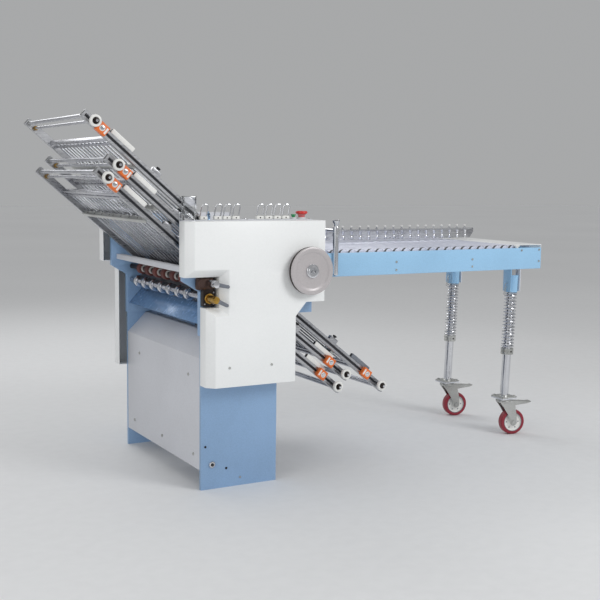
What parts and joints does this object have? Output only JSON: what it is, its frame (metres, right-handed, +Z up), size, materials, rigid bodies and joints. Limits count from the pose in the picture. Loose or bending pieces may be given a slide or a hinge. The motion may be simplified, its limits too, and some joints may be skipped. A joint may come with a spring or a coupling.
{
  "type": "paper folding machine",
  "caption": "Floor-standing buckle folding machine: slanted fold plates above and below a covered roller stack, and a roller infeed table on sprung caster legs.",
  "frame": {"origin": "on the floor, under the middle of the bounding box", "axes": "+X along the infeed table away from the fold rollers, +Y from the operator's side to the far side, +Z up"},
  "size_m": [1.8628, 0.8514, 1.191],
  "materials": {
    "deflector_plate": "satin blue paint",
    "far_caster_fork": "zinc plated",
    "far_caster_wheel": "red tread on a white hub",
    "far_cover": "satin white paint",
    "far_leg_spring": "zinc plated",
    "far_leg_tube": "zinc plated",
    "far_side_plate": "satin blue paint",
    "fold_roller_1": "knurled and rubber-inlaid",
    "fold_roller_2": "knurled and rubber-inlaid",
    "fold_roller_3": "knurled and rubber-inlaid",
    "fold_roller_4": "knurled and rubber-inlaid",
    "fold_roller_5": "knurled and rubber-inlaid",
    "fold_roller_6": "knurled and rubber-inlaid",
    "fold_roller_7": "knurled and rubber-inlaid",
    "fold_roller_8": "knurled and rubber-inlaid",
    "front_panel": "grey paint",
    "front_tie_bar": "grey paint",
    "handwheel": "grey paint, steel shaft",
    "lift_loop_1": "bright wire",
    "lift_loop_2": "bright wire",
    "lift_loop_3": "bright wire",
    "lift_loop_4": "bright wire",
    "lift_loop_5": "bright wire",
    "lift_loop_6": "bright wire",
    "lift_loop_7": "bright wire",
    "lift_loop_8": "bright wire",
    "lower_clamp_lever": "grey",
    "lower_plate_1_frame": "brushed",
    "lower_plate_1_knob": "white",
    "lower_plate_1_stop": "brushed",
    "lower_plate_2_frame": "brushed",
    "lower_plate_2_knob": "white",
    "lower_plate_2_stop": "brushed",
    "lower_plate_3_frame": "brushed",
    "lower_plate_3_knob": "white",
    "lower_plate_3_stop": "brushed",
    "lower_slitter_shaft": "ground steel",
    "motor": "grey paint",
    "near_caster_fork": "zinc plated",
    "near_caster_wheel": "red tread on a white hub",
    "near_cover": "satin white paint",
    "near_leg_spring": "zinc plated",
    "near_leg_tube": "zinc plated",
    "near_side_plate": "satin blue paint",
    "side_guide": "brushed",
    "start_button": "green",
    "stop_button": "red",
    "table_frame": "light blue paint on aluminium section",
    "top_deck": "brushed",
    "upper_clamp_lever": "grey",
    "upper_plate_1_frame": "brushed",
    "upper_plate_1_knob": "white",
    "upper_plate_1_stop": "brushed",
    "upper_plate_2_frame": "brushed",
    "upper_plate_2_knob": "white",
    "upper_plate_2_stop": "brushed",
    "upper_plate_3_frame": "brushed",
    "upper_plate_3_knob": "white",
    "upper_plate_3_stop": "brushed",
    "upper_slitter_shaft": "dark rings"
  },
  "bodies": {
    "machine": {"near_side_plate": "near_side_plate", "far_side_plate": "far_side_plate", "front_tie_bar": "front_tie_bar", "deflector_plate": "deflector_plate", "front_panel": "front_panel", "top_deck": "top_deck", "near_cover": "near_cover", "far_cover": "far_cover", "motor": "motor", "table_frame": "table_frame", "upper_plate_1_frame": "upper_plate_1_frame", "upper_plate_2_frame": "upper_plate_2_frame", "upper_plate_3_frame": "upper_plate_3_frame", "lower_plate_1_frame": "lower_plate_1_frame", "lower_plate_2_frame": "lower_plate_2_frame", "lower_plate_3_frame": "lower_plate_3_frame"},
    "handwheel": {"handwheel": "handwheel"},
    "fold_roller_1": {"fold_roller_1": "fold_roller_1"},
    "fold_roller_2": {"fold_roller_2": "fold_roller_2"},
    "fold_roller_3": {"fold_roller_3": "fold_roller_3"},
    "fold_roller_4": {"fold_roller_4": "fold_roller_4"},
    "fold_roller_5": {"fold_roller_5": "fold_roller_5"},
    "fold_roller_6": {"fold_roller_6": "fold_roller_6"},
    "fold_roller_7": {"fold_roller_7": "fold_roller_7"},
    "fold_roller_8": {"fold_roller_8": "fold_roller_8"},
    "upper_slitter_shaft": {"upper_slitter_shaft": "upper_slitter_shaft"},
    "lower_slitter_shaft": {"lower_slitter_shaft": "lower_slitter_shaft"},
    "upper_clamp_lever": {"upper_clamp_lever": "upper_clamp_lever"},
    "lower_clamp_lever": {"lower_clamp_lever": "lower_clamp_lever"},
    "stop_button": {"stop_button": "stop_button"},
    "start_button": {"start_button": "start_button"},
    "lift_loop_1": {"lift_loop_1": "lift_loop_1"},
    "lift_loop_2": {"lift_loop_2": "lift_loop_2"},
    "lift_loop_3": {"lift_loop_3": "lift_loop_3"},
    "lift_loop_4": {"lift_loop_4": "lift_loop_4"},
    "lift_loop_5": {"lift_loop_5": "lift_loop_5"},
    "lift_loop_6": {"lift_loop_6": "lift_loop_6"},
    "lift_loop_7": {"lift_loop_7": "lift_loop_7"},
    "lift_loop_8": {"lift_loop_8": "lift_loop_8"},
    "upper_plate_1_knob": {"upper_plate_1_knob": "upper_plate_1_knob"},
    "upper_plate_1_stop": {"upper_plate_1_stop": "upper_plate_1_stop"},
    "upper_plate_2_knob": {"upper_plate_2_knob": "upper_plate_2_knob"},
    "upper_plate_2_stop": {"upper_plate_2_stop": "upper_plate_2_stop"},
    "upper_plate_3_knob": {"upper_plate_3_knob": "upper_plate_3_knob"},
    "upper_plate_3_stop": {"upper_plate_3_stop": "upper_plate_3_stop"},
    "lower_plate_1_knob": {"lower_plate_1_knob": "lower_plate_1_knob"},
    "lower_plate_1_stop": {"lower_plate_1_stop": "lower_plate_1_stop"},
    "lower_plate_2_knob": {"lower_plate_2_knob": "lower_plate_2_knob"},
    "lower_plate_2_stop": {"lower_plate_2_stop": "lower_plate_2_stop"},
    "lower_plate_3_knob": {"lower_plate_3_knob": "lower_plate_3_knob"},
    "lower_plate_3_stop": {"lower_plate_3_stop": "lower_plate_3_stop"},
    "side_guide": {"side_guide": "side_guide"},
    "near_leg": {"near_leg_tube": "near_leg_tube", "near_leg_spring": "near_leg_spring"},
    "near_caster": {"near_caster_fork": "near_caster_fork"},
    "near_wheel": {"near_caster_wheel": "near_caster_wheel"},
    "far_leg": {"far_leg_tube": "far_leg_tube", "far_leg_spring": "far_leg_spring"},
    "far_caster": {"far_caster_fork": "far_caster_fork"},
    "far_wheel": {"far_caster_wheel": "far_caster_wheel"}
  },
  "joints": [
    {"name": "handwheel_spin", "type": "hinge", "parent": "machine", "child": "handwheel", "pos_m": [-0.20874, 0.02185, 0.7025], "axis": [0, 1, 0], "continuous": true},
    {"name": "fold_roller_1_spin", "type": "hinge", "parent": "machine", "child": "fold_roller_1", "pos_m": [-0.4239, 0.02185, 0.77161], "axis": [0, 1, 0], "continuous": true},
    {"name": "fold_roller_2_spin", "type": "hinge", "parent": "machine", "child": "fold_roller_2", "pos_m": [-0.43558, 0.02185, 0.74839], "axis": [0, 1, 0], "continuous": true},
    {"name": "fold_roller_3_spin", "type": "hinge", "parent": "machine", "child": "fold_roller_3", "pos_m": [-0.44726, 0.02185, 0.72516], "axis": [0, 1, 0], "continuous": true},
    {"name": "fold_roller_4_spin", "type": "hinge", "parent": "machine", "child": "fold_roller_4", "pos_m": [-0.45894, 0.02185, 0.70193], "axis": [0, 1, 0], "continuous": true},
    {"name": "fold_roller_5_spin", "type": "hinge", "parent": "machine", "child": "fold_roller_5", "pos_m": [-0.47062, 0.02185, 0.6787], "axis": [0, 1, 0], "continuous": true},
    {"name": "fold_roller_6_spin", "type": "hinge", "parent": "machine", "child": "fold_roller_6", "pos_m": [-0.48231, 0.02185, 0.65548], "axis": [0, 1, 0], "continuous": true},
    {"name": "fold_roller_7_spin", "type": "hinge", "parent": "machine", "child": "fold_roller_7", "pos_m": [-0.49399, 0.02185, 0.63225], "axis": [0, 1, 0], "continuous": true},
    {"name": "fold_roller_8_spin", "type": "hinge", "parent": "machine", "child": "fold_roller_8", "pos_m": [-0.50567, 0.02185, 0.60902], "axis": [0, 1, 0], "continuous": true},
    {"name": "upper_slitter_shaft_spin", "type": "hinge", "parent": "machine", "child": "upper_slitter_shaft", "pos_m": [-0.53974, 0.02185, 0.67], "axis": [0, 1, 0], "continuous": true},
    {"name": "lower_slitter_shaft_spin", "type": "hinge", "parent": "machine", "child": "lower_slitter_shaft", "pos_m": [-0.53974, 0.02185, 0.621], "axis": [0, 1, 0], "continuous": true},
    {"name": "upper_clamp_lever_turn", "type": "hinge", "parent": "machine", "child": "upper_clamp_lever", "pos_m": [-0.53974, -0.36565, 0.67], "axis": [0, 1, 0], "range_deg": [-60, 15]},
    {"name": "lower_clamp_lever_turn", "type": "hinge", "parent": "machine", "child": "lower_clamp_lever", "pos_m": [-0.53974, -0.36565, 0.621], "axis": [0, 1, 0], "range_deg": [-30, 50]},
    {"name": "stop_button_press", "type": "slide", "parent": "machine", "child": "stop_button", "axis": [0, 0, -1], "range_m": [0, 0.004], "stiffness_N_per_m": 900, "springref_m": -0.003},
    {"name": "start_button_press", "type": "slide", "parent": "machine", "child": "start_button", "axis": [0, 0, -1], "range_m": [0, 0.003], "stiffness_N_per_m": 500, "springref_m": -0.003},
    {"name": "lift_loop_1_lift", "type": "slide", "parent": "machine", "child": "lift_loop_1", "axis": [0, 0, 1], "range_m": [0, 0.008], "stiffness_N_per_m": 400, "springref_m": -0.004},
    {"name": "lift_loop_2_lift", "type": "slide", "parent": "machine", "child": "lift_loop_2", "axis": [0, 0, 1], "range_m": [0, 0.008], "stiffness_N_per_m": 400, "springref_m": -0.004},
    {"name": "lift_loop_3_lift", "type": "slide", "parent": "machine", "child": "lift_loop_3", "axis": [0, 0, 1], "range_m": [0, 0.008], "stiffness_N_per_m": 400, "springref_m": -0.004},
    {"name": "lift_loop_4_lift", "type": "slide", "parent": "machine", "child": "lift_loop_4", "axis": [0, 0, 1], "range_m": [0, 0.008], "stiffness_N_per_m": 400, "springref_m": -0.004},
    {"name": "lift_loop_5_lift", "type": "slide", "parent": "machine", "child": "lift_loop_5", "axis": [0, 0, 1], "range_m": [0, 0.008], "stiffness_N_per_m": 400, "springref_m": -0.004},
    {"name": "lift_loop_6_lift", "type": "slide", "parent": "machine", "child": "lift_loop_6", "axis": [0, 0, 1], "range_m": [0, 0.008], "stiffness_N_per_m": 400, "springref_m": -0.004},
    {"name": "lift_loop_7_lift", "type": "slide", "parent": "machine", "child": "lift_loop_7", "axis": [0, 0, 1], "range_m": [0, 0.008], "stiffness_N_per_m": 400, "springref_m": -0.004},
    {"name": "lift_loop_8_lift", "type": "slide", "parent": "machine", "child": "lift_loop_8", "axis": [0, 0, 1], "range_m": [0, 0.008], "stiffness_N_per_m": 400, "springref_m": -0.004},
    {"name": "upper_plate_1_stop_slide", "type": "slide", "parent": "machine", "child": "upper_plate_1_stop", "axis": [-0.7604, 0, 0.6494], "range_m": [-0.355, 0.08]},
    {"name": "upper_plate_1_knob_turn", "type": "hinge", "parent": "machine", "child": "upper_plate_1_knob", "pos_m": [-0.89511, 0.02185, 1.15746], "axis": [0, 1, 0], "range_deg": [-2544, 574]},
    {"name": "upper_plate_2_stop_slide", "type": "slide", "parent": "machine", "child": "upper_plate_2_stop", "axis": [-0.7604, 0, 0.6494], "range_m": [-0.232, 0.08]},
    {"name": "upper_plate_2_knob_turn", "type": "hinge", "parent": "machine", "child": "upper_plate_2_knob", "pos_m": [-0.82494, 0.02185, 1.03113], "axis": [0, 1, 0], "range_deg": [-1663, 574]},
    {"name": "upper_plate_3_stop_slide", "type": "slide", "parent": "machine", "child": "upper_plate_3_stop", "axis": [-0.7604, 0, 0.6494], "range_m": [-0.245, 0.08]},
    {"name": "upper_plate_3_knob_turn", "type": "hinge", "parent": "machine", "child": "upper_plate_3_knob", "pos_m": [-0.85819, 0.02185, 0.99311], "axis": [0, 1, 0], "range_deg": [-1756, 574]},
    {"name": "lower_plate_1_stop_slide", "type": "slide", "parent": "machine", "child": "lower_plate_1_stop", "axis": [0.7826, 0, -0.6225], "range_m": [-0.44, 0.08]},
    {"name": "lower_plate_1_knob_turn", "type": "hinge", "parent": "machine", "child": "lower_plate_1_knob", "pos_m": [0.12754, 0.02185, 0.2842], "axis": [0, -1, 0], "range_deg": [-3153, 574]},
    {"name": "lower_plate_2_stop_slide", "type": "slide", "parent": "machine", "child": "lower_plate_2_stop", "axis": [0.7826, 0, -0.6225], "range_m": [-0.282, 0.08]},
    {"name": "lower_plate_2_knob_turn", "type": "hinge", "parent": "machine", "child": "lower_plate_2_knob", "pos_m": [-0.01948, 0.02185, 0.33611], "axis": [0, -1, 0], "range_deg": [-2021, 574]},
    {"name": "lower_plate_3_stop_slide", "type": "slide", "parent": "machine", "child": "lower_plate_3_stop", "axis": [0.7826, 0, -0.6225], "range_m": [-0.272, 0.08]},
    {"name": "lower_plate_3_knob_turn", "type": "hinge", "parent": "machine", "child": "lower_plate_3_knob", "pos_m": [-0.05067, 0.02185, 0.29588], "axis": [0, -1, 0], "range_deg": [-1950, 574]},
    {"name": "side_guide_slide", "type": "slide", "parent": "machine", "child": "side_guide", "axis": [0, 1, 0], "range_m": [-0.33, 0.2]},
    {"name": "near_leg_slide", "type": "slide", "parent": "machine", "child": "near_leg", "axis": [0.0384, 0, 0.9993], "range_m": [0, 0.05], "stiffness_N_per_m": 3000, "springref_m": -0.06, "deforming": ["near_leg_spring"]},
    {"name": "near_caster_swivel", "type": "hinge", "parent": "near_leg", "child": "near_caster", "pos_m": [0.81906, -0.16115, 0.1424], "axis": [0, 0, 1], "continuous": true},
    {"name": "near_wheel_spin", "type": "hinge", "parent": "near_caster", "child": "near_wheel", "pos_m": [0.85302, -0.16962, 0.05], "axis": [0.2419, 0.9703, 0], "continuous": true},
    {"name": "far_leg_slide", "type": "slide", "parent": "machine", "child": "far_leg", "axis": [0.0384, 0, 0.9993], "range_m": [0, 0.05], "stiffness_N_per_m": 3000, "springref_m": -0.06, "deforming": ["far_leg_spring"]},
    {"name": "far_caster_swivel", "type": "hinge", "parent": "far_leg", "child": "far_caster", "pos_m": [0.81906, 0.20485, 0.1424], "axis": [0, 0, 1], "continuous": true},
    {"name": "far_wheel_spin", "type": "hinge", "parent": "far_caster", "child": "far_wheel", "pos_m": [0.85302, 0.19638, 0.05], "axis": [0.2419, 0.9703, 0], "continuous": true}
  ],
  "couplings": [
    {"joint": "fold_roller_1_spin", "follows": "handwheel_spin", "ratio": 1},
    {"joint": "fold_roller_2_spin", "follows": "handwheel_spin", "ratio": -1},
    {"joint": "fold_roller_3_spin", "follows": "handwheel_spin", "ratio": 1},
    {"joint": "fold_roller_4_spin", "follows": "handwheel_spin", "ratio": -1},
    {"joint": "fold_roller_5_spin", "follows": "handwheel_spin", "ratio": 1},
    {"joint": "fold_roller_6_spin", "follows": "handwheel_spin", "ratio": -1},
    {"joint": "fold_roller_7_spin", "follows": "handwheel_spin", "ratio": 1},
    {"joint": "fold_roller_8_spin", "follows": "handwheel_spin", "ratio": -1},
    {"joint": "upper_slitter_shaft_spin", "follows": "handwheel_spin", "ratio": 1},
    {"joint": "lower_slitter_shaft_spin", "follows": "handwheel_spin", "ratio": -1},
    {"joint": "upper_plate_1_knob_turn", "follows": "upper_plate_1_stop_slide", "rad_per_m": 125},
    {"joint": "upper_plate_2_knob_turn", "follows": "upper_plate_2_stop_slide", "rad_per_m": 125},
    {"joint": "upper_plate_3_knob_turn", "follows": "upper_plate_3_stop_slide", "rad_per_m": 125},
    {"joint": "lower_plate_1_knob_turn", "follows": "lower_plate_1_stop_slide", "rad_per_m": 125},
    {"joint": "lower_plate_2_knob_turn", "follows": "lower_plate_2_stop_slide", "rad_per_m": 125},
    {"joint": "lower_plate_3_knob_turn", "follows": "lower_plate_3_stop_slide", "rad_per_m": 125}
  ]
}
